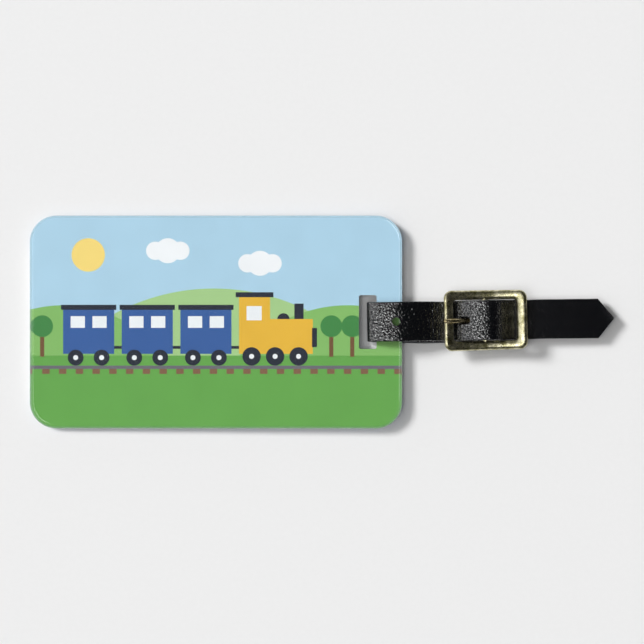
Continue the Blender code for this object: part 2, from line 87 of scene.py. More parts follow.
# Holes in the strap, and the wrinkles across it: place, width, height and lean, in millimetres
PUNCH_RADIUS = 0.975 * MM
PRONG_HOLE_PLACE, PRONG_HOLE_RADIUS, PRONG_HOLE_HALF = 23.1 * MM, 0.95 * MM, 0.75 * MM
RIVET_BORE, RIVET_SEAT = 1.0 * MM, 1.9 * MM
CREASES = (
    (14.6, 0.28, 0.05, 0.03), (15.5, 0.26, 0.075, -0.02), (16.3, 0.24, 0.085, 0.04),
    (17.0, 0.24, 0.09, -0.03), (19.9, 0.30, 0.08, 0.03), (20.8, 0.30, 0.08, -0.05),
    (21.7, 0.30, 0.07, 0.04), (22.6, 0.32, 0.05, 0.02),
)

# Levels
TAG_TILT = math.asin((STRAP + LAYER_GAP) / (SLOT_CENTRE + SLOT_WIDTH / 2))
TAG_SETTLE = COVER_EDGE * (math.sin(TAG_TILT) + math.cos(TAG_TILT) - 1)
TAG_LEAN = (TAG_THICKNESS - COVER_EDGE) * math.sin(TAG_TILT)
STRAP_YAW, BUCKLE_YAW = math.radians(0.9), math.radians(0.5)
OVERALL = TAG_LEAN + SLOT_CENTRE * math.cos(TAG_TILT) + TIP_END * math.cos(STRAP_YAW)
TAG_X = TAG_LEAN - OVERALL / 2
STRAP_X = TAG_X + SLOT_CENTRE * math.cos(TAG_TILT)
LOWER_Z = STRAP / 2
FLAP_Z = LOWER_Z + STRAP + LAYER_GAP
UPPER_Z = FLAP_Z + STRAP + LAYER_GAP
FOLD_RADIUS = BAR_RADIUS + BAR_CLEARANCE + STRAP / 2
LOOP_RADIUS = BAR_RADIUS + BAR_CLEARANCE + PRONG_RADIUS
CREST_Z = BAR_HEIGHT + FOLD_RADIUS + STRAP + LAYER_GAP

TAG_POSE = Matrix.Translation((TAG_X, 0, -TAG_SETTLE)) @ Matrix.Rotation(-TAG_TILT, 4, "Y")
STRAP_POSE = Matrix.Translation((STRAP_X, 0, 0)) @ Matrix.Rotation(STRAP_YAW, 4, "Z")
BAR_SHIFT = Matrix.Translation((BAR_PLACE, 0, BAR_HEIGHT))
BUCKLE_POSE = STRAP_POSE @ BAR_SHIFT @ Matrix.Rotation(BUCKLE_YAW, 4, "Z")

# Looks
ACRYLIC_IOR = 1.49
SIDE_UPTO, RIM_UPTO = 0.35, 0.86  # the highest upward share of a normal on a cover's sides, and on its rim
FACE_KIND, CUT_KIND, BACK_KIND = (1, 0, 0, 1), (0, 0, 0, 1), (0, 1, 0, 1)
LAMP_DISTANCE = 12.0
CAMERA_LENS, CAMERA_ASIDE, CAMERA_RISE = 200, 25.33 * MM, 0.8517


# -------------------------------------------------------------- materials


class Finish:
    """A material whose nodes are added one by one."""

    def __init__(self, name, **shader):
        self.material = bpy.data.materials.new(name)
        self.material.use_nodes = True
        self.tree = self.material.node_tree
        self.shader = self.tree.nodes["Principled BSDF"]
        self.set(self.shader, shader)

    def put(self, socket, value):
        """Gives a socket another node's output, or a plain value."""
        if isinstance(value, bpy.types.NodeSocket):
            self.tree.links.new(value, socket)
        else:
            socket.default_value = value

    def set(self, node, values):
        for key, value in values.items():
            self.put(node.inputs[key.replace("_", " ")], value)

    def node(self, kind, settings=None, **values):
        made = self.tree.nodes.new("ShaderNode" + kind)
        for key, value in (settings or {}).items():
            setattr(made, key, value)
        self.set(made, values)
        return made

    def shade(self, **values):
        self.set(self.shader, values)

    def coordinates(self, layer=None):
        if layer:
            return self.node("UVMap", {"uv_map": layer}).outputs[0]
        return self.node("TexCoord").outputs["Object"]

    def attribute(self, name):
        return self.node("Attribute", {"attribute_name": name}).outputs["Color"]

    def stretched(self, where, x, y, z):
        return self.node("Mapping", Vector=where, Scale=(x, y, z)).outputs[0]

    def noise(self, where, scale, detail=3.0, roughness=0.55, distortion=0.0):
        made = self.node(
            "TexNoise", Vector=where, Scale=scale, Detail=detail, Roughness=roughness, Distortion=distortion
        )
        return made.outputs["Fac"]

    def cells(self, where, scale, smoothness):
        made = self.node(
            "TexVoronoi", {"feature": "SMOOTH_F1"}, Vector=where, Scale=scale, Smoothness=smoothness
        )
        return made.outputs["Distance"]

    def span(self, value, low, high, to_low, to_high):
        made = self.node("MapRange", Value=value)
        for key, number in (("From Min", low), ("From Max", high), ("To Min", to_low), ("To Max", to_high)):
            made.inputs[key].default_value = number
        return made.outputs["Result"]

    def share(self, noise, low=0.3, high=0.7):
        """A noise spread out to run from 0 to 1."""
        return self.span(noise, low, high, 0.0, 1.0)

    def combine(self, operation, first, second):
        made = self.node("Math", {"operation": operation})
        self.put(made.inputs[0], first)
        self.put(made.inputs[1], second)
        return made.outputs[0]

    def blend(self, share, first, second):
        """From the first colour to the second."""
        made = self.node("Mix", {"data_type": "RGBA"})
        for index, value in ((0, share), (6, first), (7, second)):
            self.put(made.inputs[index], (*value, 1.0) if isinstance(value, tuple) else value)
        return made.outputs[2]

    def mix_value(self, share, first, second):
        """From the first number to the second."""
        made = self.node("Mix", {"data_type": "FLOAT"})
        for index, value in ((0, share), (2, first), (3, second)):
            self.put(made.inputs[index], value)
        return made.outputs[0]

    def bump(self, height, distance, strength=1.0, normal=None):
        made = self.node("Bump", Strength=strength, Distance=distance, Height=height)
        if normal:
            self.tree.links.new(normal, made.inputs["Normal"])
        return made.outputs[0]


def clear_acrylic():
    """Clear, polished, with faint smears and scratches that show only in a reflection."""
    made = Finish(
        "clear_acrylic",
        Base_Color=(0.985, 0.995, 1.0, 1.0),
        Transmission_Weight=1.0,
        IOR=ACRYLIC_IOR,
        Specular_IOR_Level=0.3,
    )
    where = made.coordinates()
    smear = made.noise(where, 90, 4, 0.6, 0.4)
    made.shade(Roughness=made.span(smear, 0.35, 0.75, 0.04, 0.09))
    scratch = made.noise(made.stretched(where, 40, 900, 40), 12, 2)
    made.shade(Normal=made.bump(scratch, 0.0004 * MM, 0.3))
    return made.material


def cut_acrylic(name, clearness):
    """The sides of the acrylic, milky from cutting and lightly polished."""
    made = Finish(name, Transmission_Weight=clearness, IOR=ACRYLIC_IOR, Specular_IOR_Level=0.3)
    haze = made.noise(made.coordinates(), 1100, 3, 0.6)
    made.shade(Base_Color=made.blend(made.share(haze), (0.54, 0.63, 0.66), (0.68, 0.75, 0.77)))
    made.shade(Roughness=made.span(haze, 0.3, 0.7, 0.10, 0.22))
    made.shade(Normal=made.bump(haze, 0.003 * MM, 0.5))
    return made.material


def printed(name, roughness):
    """Ink on smooth card: the colours come from the mesh, with a little unevenness in the ink."""
    made = Finish(name, Specular_IOR_Level=0.02)
    where = made.coordinates()
    patchy = made.span(made.noise(where, 140, 3), 0.3, 0.7, 0.0, 0.05)
    fibre = made.noise(where, 2600, 2)
    made.shade(Base_Color=made.blend(patchy, made.attribute("ink"), (0.0, 0.0, 0.0)))
    made.shade(Roughness=made.span(fibre, 0.3, 0.7, roughness - 0.05, roughness + 0.08))
    made.shade(Normal=made.bump(fibre, 0.004 * MM, 0.4))
    return made.material


def card_board():
    made = Finish("white_card", Roughness=0.8)
    fibre = made.noise(made.coordinates(), 1800, 4, 0.65)
    made.shade(Base_Color=made.blend(made.share(fibre), (0.70, 0.69, 0.66), (0.84, 0.83, 0.81)))
    made.shade(Normal=made.bump(fibre, 0.02 * MM, 0.6))
    return made.material


def leather_height(made, where):
    """Rounded pebbles with finer ones on them and small pores between, wandering a little."""
    warp = made.noise(where, 0.9, 2)
    aside = made.node("CombineXYZ", X=warp, Y=warp).outputs[0]
    moved = made.node("VectorMath", {"operation": "ADD"})
    made.put(moved.inputs[0], where)
    made.put(moved.inputs[1], aside)
    pebble = made.cells(moved.outputs[0], 2.1, 0.1)
    fine = made.cells(moved.outputs[0], 5.0, 0.3)
    pore = made.noise(where, 8, 2, 0.6)
    depth = made.combine("MULTIPLY", pebble, pebble)
    depth = made.combine("ADD", depth, made.combine("MULTIPLY", fine, 0.06))
    return made.combine("SUBTRACT", made.combine("MULTIPLY", pore, 0.012), depth)


def leather():
    """Black grained leather: a glossy pebbled face, cut edges of grey fibres painted lighter still as a
    painted highlight, and a matt back.

    The grain stands out where the strap has been bent, up to the buckle, and lies smooth beyond it.
    """
    made = Finish("black_leather", IOR=1.5, Specular_IOR_Level=0.8)
    where = made.coordinates("strap")
    kind = made.node("SeparateColor")
    made.put(kind.inputs[0], made.attribute("kind"))
    face, back = kind.outputs[0], kind.outputs[1]
    fibres = made.noise(where, 9, 5, 0.7)
    grain = made.mix_value(face, fibres, leather_height(made, where))

    wear = made.noise(where, 0.35, 4)
    black = made.blend(made.share(wear, 0.4, 0.8), (0.0018, 0.0020, 0.0030), (0.0030, 0.0032, 0.0042))
    suede = made.blend(made.share(fibres), (0.022, 0.020, 0.019), (0.050, 0.046, 0.043))
    # The cut edges: grey raw fibres, painted lighter than the back as a painted highlight that makes them
    # look lit
    edge = made.blend(made.share(fibres), (0.035, 0.036, 0.040), (0.13, 0.135, 0.15))
    made.shade(Base_Color=made.blend(back, made.blend(face, edge, black), suede))

    shine = made.span(made.noise(where, 1.4, 3), 0.3, 0.7, 0.17, 0.22)
    made.shade(Roughness=made.mix_value(face, 0.85, shine))
    along = made.node("SeparateXYZ", Vector=where).outputs["X"]
    bent = made.span(along, 86, 92, 1.0, 0.0)
    speckle = made.span(made.noise(where, 2.6, 1.5, 0.6), 0.40, 0.62, 0.25, 2.6)
    gloss = made.mix_value(bent, 0.75, speckle)
    made.shade(Specular_IOR_Level=made.mix_value(face, 0.15, gloss))
    made.shade(Normal=made.bump(grain, 0.095 * MM, made.span(bent, 0.0, 1.0, 0.3, 1.0)))
    return made.material


def brass(name, tone, dark, roughness, ripple):
    """Plated brass, a little greenish in its hollows, with soft casting ripples and fine handling marks."""
    made = Finish(name, Metallic=1.0)
    where = made.coordinates()
    cloud = made.noise(where, 640, 5, 0.65)
    made.shade(Base_Color=made.blend(made.share(cloud, 0.38, 0.62), tone, dark))
    marks = made.noise(made.stretched(where, 1, 6, 6), 1500, 3, 0.6)
    made.shade(Roughness=made.span(marks, 0.3, 0.75, roughness - 0.06, roughness + 0.12))
    waves = made.bump(made.noise(where, 520, 2, 0.5), ripple)
    speck = made.noise(where, 2800, 3, 0.6)
    made.shade(Normal=made.bump(speck, 0.010 * MM, 0.5, waves))
    return made.material


def table_top():
    made = Finish("table_top", Roughness=0.9, Specular_IOR_Level=0.1)
    tooth = made.noise(made.coordinates(), 900, 3)
    made.shade(Base_Color=made.blend(made.share(tooth), (0.795, 0.795, 0.795), (0.805, 0.805, 0.805)))
    return made.material


# ----------------------------------------------------------------- meshes


def to_object(name, shape, material, pose=None, smooth=35):
    """A bmesh as an object, with its vertices in the row frame and shallow edges shaded smooth."""
    bmesh.ops.recalc_face_normals(shape, faces=shape.faces)
    if pose:
        bmesh.ops.transform(shape, matrix=pose, verts=shape.verts)
    mesh = bpy.data.meshes.new(name)
    shape.to_mesh(mesh)
    shape.free()
    mesh.shade_smooth()
    mesh.set_sharp_from_angle(angle=math.radians(smooth))
    if material:
        mesh.materials.append(material)
    made = bpy.data.objects.new(name, mesh)
    bpy.context.scene.collection.objects.link(made)
    return made


def settle_modifiers(target, smooth=35):
    """Makes what the modifiers give the object's own mesh."""
    evaluated = target.evaluated_get(bpy.context.evaluated_depsgraph_get())
    mesh = bpy.data.meshes.new_from_object(evaluated)
    target.modifiers.clear()
    target.data = mesh
    mesh.shade_smooth()
    mesh.set_sharp_from_angle(angle=math.radians(smooth))


def cut(target, cutters, operation="DIFFERENCE"):
    """Takes the cutters out of the target, or joins them to it, and removes them."""
    for cutter in cutters:
        step = target.modifiers.new(cutter.name, "BOOLEAN")
        step.operation = operation
        step.solver = "EXACT"
        step.object = cutter
    bpy.context.view_layer.update()
    settle_modifiers(target)
    for cutter in cutters:
        bpy.data.objects.remove(cutter, do_unlink=True)


def skin(rings, closed=False):
    """A closed skin over rings of points, capped at both ends or running round into itself."""
    shape = bmesh.new()
    rows = [[shape.verts.new(point) for point in ring] for ring in rings]
    pairs = list(zip(rows, rows[1:])) + ([(rows[-1], rows[0])] if closed else [])
    for first, second in pairs:
        for i in range(len(first)):
            j = (i + 1) % len(first)
            shape.faces.new((first[i], first[j], second[j], second[i]))
    if not closed:
        shape.faces.new(rows[0])
        shape.faces.new(rows[-1])
    return shape


def arc(centre, radius, start, end, steps):
    turns = [start + (end - start) * i / steps for i in range(steps + 1)]
    return [(centre[0] + radius * math.cos(a), centre[1] + radius * math.sin(a)) for a in turns]


def curve(start, start_handle, end_handle, end, steps):
    """A curve that leaves its start towards one handle and reaches its end from the other."""
    points = []
    for i in range(steps + 1):
        t = i / steps
        weights = ((1 - t) ** 3, 3 * t * (1 - t) ** 2, 3 * t * t * (1 - t), t**3)
        corners = (start, start_handle, end_handle, end)
        points.append(tuple(sum(w * c[axis] for w, c in zip(weights, corners)) for axis in (0, 1)))
    return points


def clamped(share):
    return min(max(share, 0.0), 1.0)


def joined(*stretches):
    """One path out of several, without the points that they share."""
    path = []
    for point in (point for stretch in stretches for point in stretch):
        if not path or math.dist(point, path[-1]) > 1e-7:
            path.append(point)
    return path


def height_at(path, place):
    """The point at which a path from left to right passes a place."""
    for (x0, z0), (x1, z1) in zip(path, path[1:]):
        if x0 <= place <= x1:
            return (place, z0 + (z1 - z0) * (place - x0) / (x1 - x0))
    raise ValueError(f"no part of the path is at {place}")


def trimmed(path, start, end):
    return [height_at(path, start), *(p for p in path if start < p[0] < end), height_at(path, end)]


def evenly(path, step):
    """The same path with points no further apart than the step."""
    points = [path[0]]
    for before, after in zip(path, path[1:]):
        count = max(1, math.ceil(math.dist(before, after) / step))
        points += [
            (before[0] + (after[0] - before[0]) * i / count, before[1] + (after[1] - before[1]) * i / count)
            for i in range(1, count + 1)
        ]
    return points


def directions(path):
    """The way a path runs at each of its points."""
    found = []
    for i in range(len(path)):
        before, here, after = (Vector(path[j]) for j in (max(i - 1, 0), i, min(i + 1, len(path) - 1)))
        along = Vector((0, 0))
        for step in (here - before, after - here):
            if step.length > 0:
                along += step.normalized()
        found.append(along.normalized())
    return found


def rounded_rectangle(x0, x1, half_width, corner, steps):
    corners = (
        (x1 - corner, half_width - corner),
        (x0 + corner, half_width - corner),
        (x0 + corner, -half_width + corner),
        (x1 - corner, -half_width + corner),
    )
    outline = []
    for quarter, centre in enumerate(corners):
        outline += arc(centre, corner, quarter * TAU / 4, (quarter + 1) * TAU / 4, steps)
    return outline


def tag_outline(inset):
    return rounded_rectangle(inset, TAG_LENGTH - inset, TAG_WIDTH / 2 - inset, TAG_CORNER - inset, 20)


def slot_outline():
    half = SLOT_WIDTH / 2
    return rounded_rectangle(SLOT_CENTRE - half, SLOT_CENTRE + half, SLOT_LENGTH / 2, SLOT_CORNER, 6)


# -------------------------------------------------------------------- tag


def build_cover(name, bottom, face_up, materials):
    """A clear cover with its outer edge rolled over and the slot's rims lightly broken.

    The materials are those of its flat faces, of its upright sides and of the rolled rim between them.
    """
    steps = 14
    levels = [(0.0, 0.0), (0.0, COVER - COVER_EDGE)]
    for i in range(1, steps + 1):
        turn = TAU / 4 * i / steps
        rise = COVER - COVER_EDGE + COVER_EDGE * math.sin(turn)
        levels.append((COVER_EDGE * (1 - math.cos(turn)), rise))
    rings = []
    for inset, rise in levels:
        height = bottom + rise if face_up else bottom + COVER - rise
        rings.append([(x, y, height) for x, y in tag_outline(inset)])
    made = to_object(name, skin(rings), materials[0], TAG_POSE)
    hole = [[(x, y, z) for x, y in slot_outline()] for z in (bottom - MM, bottom + COVER + MM)]
    cut(made, [to_object(name + "_slot", skin(hole), None, TAG_POSE)])
    rim = made.modifiers.new("rim", "BEVEL")
    rim.width = 0.08 * MM
    rim.segments = 2
    rim.limit_method = "ANGLE"
    rim.angle_limit = math.radians(50)
    bpy.context.view_layer.update()
    settle_modifiers(made)
    for side_material in materials[1:]:
        made.data.materials.append(side_material)
    for face in made.data.polygons:
        upright = abs(face.normal.z)
        face.material_index = 1 if upright < SIDE_UPTO else 2 if upright < RIM_UPTO else 0
    flatten = made.modifiers.new("flat_faces", "WEIGHTED_NORMAL")
    flatten.keep_sharp = True
    made.visible_shadow = False
    made.visible_diffuse = False
    return made


def disc(x, y, radius, steps=40, squash=1.0):
    turns = [TAU * i / steps for i in range(steps)]
    return [(x + radius * math.cos(a), y + squash * radius * math.sin(a)) for a in turns]


def block(x0, y0, x1, y1, lean=0.0, widen=0.0):
    """A four-sided shape: lean tips its top edge to the side, widen spreads it."""
    return [(x0, y0), (x1, y0), (x1 + lean + widen, y1), (x0 + lean - widen, y1)]


def rod(x0, y0, x1, y1, radius, steps=10):
    """A round-ended bar between two points."""
    turn = math.atan2(y1 - y0, x1 - x0)
    return arc((x1, y1), radius, turn - TAU / 4, turn + TAU / 4, steps) + arc(
        (x0, y0), radius, turn + TAU / 4, turn + 3 * TAU / 4, steps
    )


def shade_of(red, green, blue):
    """A printed colour given as screen values from 0 to 255."""
    shares = (red / 255, green / 255, blue / 255)
    return tuple(((v + 0.055) / 1.055) ** 2.4 if v > 0.04 else v / 12.92 for v in shares)


SKY, SUN, CLOUD = shade_of(176, 212, 232), shade_of(248, 220, 128), shade_of(244, 247, 249)
FAR_HILL, HILL, GRASS = shade_of(168, 206, 142), shade_of(136, 188, 108), shade_of(106, 168, 84)
TRUNK, LEAVES = shade_of(120, 90, 66), shade_of(74, 138, 78)
STEEL, SLEEPER, DARK = shade_of(112, 112, 118), shade_of(132, 102, 80), shade_of(52, 56, 66)
BLUE, YELLOW, PANE = shade_of(66, 100, 160), shade_of(232, 184, 70), shade_of(240, 244, 246)
BAND = shade_of(24, 140, 193)
PALE, RULE, PAPER = shade_of(226, 238, 243), shade_of(96, 130, 148), shade_of(250, 251, 251)
SHEET_EDGE = shade_of(236, 236, 232)

# The printed field, in millimetres, a little wider than the sheet, and the top of the back's lower band
FIELD_LEFT, FIELD_RIGHT, FIELD_LOW, FIELD_HIGH, BAND_TOP = -2, 91, -27, 27, -19
GROUND, RAIL_TOP, FLOOR = -8, -10.4, -7.6


def scenery():
    """Round hills under a plain sky."""
    clouds = [(x + 3 * i, y, 2.2 + 0.8 * (i == 1)) for x, y in ((30, 17), (52, 14)) for i in range(3)]
    shapes = [
        (block(FIELD_LEFT, FIELD_LOW, FIELD_RIGHT, FIELD_HIGH), SKY),
        (disc(14, 16, 4, 48), SUN),
        *((disc(x, y, radius, 28), CLOUD) for x, y, radius in clouds),
        (disc(44, -42, 50, 160), FAR_HILL),
        (disc(8, -26, 30, 120), HILL),
        (disc(76, -30, 34, 120), HILL),
        (block(FIELD_LEFT, FIELD_LOW, FIELD_RIGHT, GROUND), GRASS),
    ]
    for x in (3, 72, 77):
        shapes += [(block(x - 0.5, GROUND - 0.3, x + 0.5, -3), TRUNK), (disc(x, -1, 2.6, 32), LEAVES)]
    return shapes


def railway():
    """Straight track on even sleepers."""
    sleepers = [(block(x, RAIL_TOP - 2, x + 1.8, RAIL_TOP - 0.7), SLEEPER) for x in range(-1, 91, 4)]
    return [*sleepers, (block(FIELD_LEFT, RAIL_TOP - 0.8, FIELD_RIGHT, RAIL_TOP), STEEL)]


def wheels(places, radius):
    made = []
    for x in places:
        made += [(disc(x, RAIL_TOP + radius, radius), DARK), (disc(x, RAIL_TOP + radius, 0.6, 16), PANE)]
    return made


def coach(x):
    """A plain box with two windows, its left end at x."""
    return [
        (block(x + 12, -6.4, x + 14.2, -5.7), DARK),
        (block(x, FLOOR, x + 12.2, 3.0), BLUE),
        (block(x - 0.5, 2.9, x + 12.7, 4.1), DARK),
        (block(x + 1.8, -1.4, x + 5.2, 1.4), PANE),
        (block(x + 7.0, -1.4, x + 10.4, 1.4), PANE),
        *wheels((x + 3, x + 9.2), 1.9),
    ]


def locomotive():
    """A cab and a boiler, heading away from the coaches."""
    return [
        (block(63.2, 0.4, 65.4, 4.4), DARK),
        (disc(60.6, 0.6, 1.5, 28), DARK),
        (block(57.0, FLOOR, 67.6, 0.7), YELLOW),
        (block(67.4, -6.0, 68.6, -1.4), DARK),
        (block(50.0, FLOOR, 57.4, 6.0), YELLOW),
        (block(49.2, 5.9, 58.2, 7.1), DARK),
        (block(51.8, 0.4, 55.4, 3.8), PANE),
        *wheels((53, 58.6, 64.2), 2.2),
    ]


def picture_shapes():
    """A plain train on green hills, in millimetres from the tag's left edge and its middle line."""
    coaches = [shape for x in (8, 22, 36) for shape in coach(x)]
    return [*scenery(), *railway(), *coaches, *locomotive()]


def panel_shapes():
    """The back: a plain contact panel with blank ruled lines, in the same measure."""
    rules = [8.6 - 5.2 * i for i in range(5)]
    return [
        (block(FIELD_LEFT, FIELD_LOW, FIELD_RIGHT, FIELD_HIGH), PALE),
        (block(FIELD_LEFT, 17, FIELD_RIGHT, FIELD_HIGH), BAND),
        (rounded_rectangle(7, 71, 14.5, 2.0, 8), PAPER),
        *((block(11, y, 67, y + 0.3), RULE) for y in rules),
        (block(FIELD_LEFT, FIELD_LOW, FIELD_RIGHT, BAND_TOP), BAND),
    ]


def printed_mesh(shapes, level):
    """A flat mesh, as wide as the print, that follows the edges of the shapes, each face with its own ink."""
    outlines = [tag_outline(PRINT_INSET), slot_outline()]
    outlines += [[(x * MM, y * MM) for x, y in outline] for outline, _ in shapes]
    points, faces = [], []
    for outline in outlines:
        faces.append(list(range(len(points), len(points) + len(outline))))
        points += [Vector(point) for point in outline]
    for face in faces:
        ends = zip(face, face[1:] + face[:1])
        if sum(points[i].x * points[j].y - points[j].x * points[i].y for i, j in ends) < 0:
            face.reverse()
    verts, _, tris, _, _, owners = geometry.delaunay_2d_cdt(points, [], faces, 1, 0.002 * MM)
    shape = bmesh.new()
    ink = shape.loops.layers.float_color.new("ink")
    flat = [shape.verts.new((v.x, v.y, level)) for v in verts]
    for tri, owner in zip(tris, owners):
        if 0 not in owner or 1 in owner:
            continue
        colour = shapes[max(owner) - 2][1]
        for loop in shape.faces.new([flat[i] for i in tri]).loops:
            loop[ink] = (*colour, 1.0)
    bmesh.ops.delete(shape, geom=[v for v in shape.verts if not v.link_faces], context="VERTS")
    return shape, ink


def build_print(name, bottom, shapes, material, printed_up):
    """A thin printed sheet: the printed side, its twin as the other side, and the cut rim between them."""
    shape, ink = printed_mesh(shapes, bottom + PRINT if printed_up else bottom)
    rims = [edge for edge in shape.edges if edge.is_boundary]
    other = bmesh.ops.duplicate(shape, geom=shape.verts[:] + shape.edges[:] + shape.faces[:])
    for vert in [v for v in other["geom"] if isinstance(v, bmesh.types.BMVert)]:
        vert.co.z += -PRINT if printed_up else PRINT
    twins = other["vert_map"]
    for edge in rims:
        a, b = edge.verts
        for loop in shape.faces.new((a, b, twins[b], twins[a])).loops:
            loop[ink] = (*SHEET_EDGE, 1.0)
    return to_object(name, shape, material, TAG_POSE, 30)


def build_tag():
    acrylic = clear_acrylic(), cut_acrylic("side_acrylic", 0.4), cut_acrylic("rim_acrylic", 0.88)
    level = 0.0
    rear = build_cover("cover_rear", level, False, acrylic)
    level += COVER + BOND
    back = build_print("contact_panel", level, panel_shapes(), printed("back_print", 0.5), False)
    level += PRINT + BOND + CARD + BOND
    picture = build_print("picture", level, picture_shapes(), printed("picture_print", 0.42), True)
    level += PRINT + BOND
    front = build_cover("cover_front", level, True, acrylic)
    for made, node, slot in (
        (rear, "rear_cover", "clear_acrylic"),
        (back, "rear_print", "back_print"),
        (picture, "front_print", "picture_print"),
        (front, "front_cover", "clear_acrylic"),
    ):
        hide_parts(node)
        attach(made, "tag")
    paint_node("core_card", card_board())


# ------------------------------------------------------------------ strap


def upper_path():
    """From the bend, over a crest, under the frame's left rail, over the bar and on to the tip's flex."""
    bend_end = BEND_FACE + STRAP / 2 + UPPER_BEND * (1 + math.cos(BEND_LEAVE))
    climb = math.tan(BEND_LEAVE - TAU / 4)
    left, right = BAR_PLACE - FRAME_LENGTH / 2, BAR_PLACE + FRAME_LENGTH / 2
    return joined(
        curve(
            (bend_end, BEND_TOP), (bend_end + 1.8 * MM, BEND_TOP + 1.8 * MM * climb),
            (RUN_CREST_PLACE - 1.8 * MM, RUN_CREST), (RUN_CREST_PLACE, RUN_CREST), 20,
        ),
        curve(
            (RUN_CREST_PLACE, RUN_CREST), (RUN_CREST_PLACE + 3.8 * MM, RUN_CREST),
            (left - 2.8 * MM, UPPER_Z), (left + 0.4 * MM, UPPER_Z), 40,
        ),
        curve(
            (left + 1.9 * MM, UPPER_Z), (left + 2.8 * MM, UPPER_Z),
            (BAR_PLACE - 4.8 * MM, CREST_Z), (BAR_PLACE + 0.4 * MM, CREST_Z), 44,
        ),
        curve(
            (BAR_PLACE + 0.4 * MM, CREST_Z), (BAR_PLACE + 3.4 * MM, CREST_Z),
            (BAR_PLACE + 4.6 * MM, UPPER_Z), (right - BAR_RIGHT - 0.3 * MM, UPPER_Z), 36,
        ),
        [(TIP_FLEX, UPPER_Z)],
    )


def bend_points():
    """From the lower run up through the slot and over its end to the upper run."""
    upright = BEND_FACE + STRAP / 2
    low = (upright + LOWER_BEND, LOWER_Z + LOWER_BEND)
    high = (upright + UPPER_BEND, BEND_TOP - UPPER_BEND * math.sin(BEND_LEAVE))
    return joined(
        [(FLEX, LOWER_Z)],
        arc(low, LOWER_BEND, -TAU / 4, -TAU / 2, 18),
        arc(high, UPPER_BEND, TAU / 2, BEND_LEAVE, 20),
    )


def fold_points():
    """The lower run to the bar, round it, and back as the flap."""
    first, last = math.radians(-70), math.radians(130)
    fold = arc((BAR_PLACE, BAR_HEIGHT), FOLD_RADIUS, first, last, 44)
    enter, leave = fold[0], fold[-1]
    slope, fall = math.tan(first + TAU / 4), last + TAU / 4
    return joined(
        [(FLEX, LOWER_Z), (19.8 * MM, LOWER_Z)],
        curve(
            (19.8 * MM, LOWER_Z), (23.2 * MM, LOWER_Z),
            (enter[0] - 3.2 * MM, enter[1] - 3.2 * MM * slope), enter, 26,
        ),
        fold,
        curve(
            leave, (leave[0] + 2.6 * MM * math.cos(fall), leave[1] + 2.6 * MM * math.sin(fall)),
            (23.2 * MM, FLAP_Z), (20.6 * MM, FLAP_Z), 26,
        ),
        [(FLAP_END, FLAP_Z)],
    )


def lower_shift(x, z):
    """How far to the side the lower run bows out from under the upper one."""
    low = clamped(1 - (z - LOWER_Z) / UPPER_Z)
    return -LOWER_BOW * math.sin(TAU / 2 * clamped(x / BAR_PLACE)) * low


def strap_section(half):
    """The strip's outline from the face round, and what each side is: 0 face, 1 cut edge, 2 back."""
    h = STRAP / 2
    top, low = min(FACE_ROUNDING, half / 2), min(BACK_ROUNDING, half / 2)
    across, wall = 14, 2 * h - low - top
    points = [(half - top - 2 * (half - top) * i / across, h, 0) for i in range(across + 1)]
    points += [(u, v, 0) for u, v in arc((-half + top, h - top), top, TAU / 4, TAU / 2, 4)[1:]]
    points += [(-half, -h + low + wall * (1 - i / 3), 1) for i in range(1, 3)]
    points += [(u, v, 1) for u, v in arc((-half + low, -h + low), low, TAU / 2, 3 * TAU / 4, 3)]
    points += [(-half + low + 2 * (half - low) * i / 8, -h, 2) for i in range(1, 8)]
    points += [(u, v, 2) for u, v in arc((half - low, -h + low), low, -TAU / 4, 0, 3)]
    points += [(half, -h + low + wall * i / 3, 1) for i in range(1, 3)]
    points += [(u, v, 0) for u, v in arc((half - top, h - top), top, 0, TAU / 4, 4)[:-1]]
    return points


def in_buckle(x):
    """Where the strap is pressed flat: 1 inside the buckle, falling to 0 under its two end bars."""
    return min(clamped((x - BUCKLE_ENTRY) / (3 * MM)), clamped((BUCKLE_EXIT - x) / (2 * MM)))


def waver(rng, size, count=5, longest=30 * MM):
    """A gentle random line: a few sine waves."""
    waves = [(size / (1 + k), TAU * (1 + k) / longest, rng.uniform(0, TAU)) for k in range(count)]
    return lambda s: sum(a * math.sin(f * s + p) for a, f, p in waves) / 1.6


def build_strip(name, path, material, rng, half_at, shift=None, start_s=0.0, ripple=None):
    """A leather strip along a path, with a face, cut edges and a back, and slightly uneven edges."""
    uneven = (waver(rng, 0.05 * MM), waver(rng, 0.05 * MM))
    rings, places, s = [], [], start_s
    previous = path[0]
    for (x, z), along in zip(path, directions(path)):
        s += math.dist(previous, (x, z))
        previous = (x, z)
        half = half_at(x)
        aside = shift(x, z) if shift else 0.0
        ring = []
        for u, v, kind in strap_section(half):
            edge = uneven[0](s) if u < 0 else uneven[1](s)
            side = u * (1 + edge / half) if half > 1.5 * MM else u
            level = v + (ripple(x, z, u) if ripple and v > 0 and kind == 0 else 0.0)
            ring.append((x - along.y * level, aside + side, z + along.x * level))
        rings.append(ring)
        places.append(s)
    shape = skin(rings)
    mark_strip(shape, places, strap_section(half_at(path[len(path) // 2][0])))
    return to_object(name, shape, material, STRAP_POSE, 60)


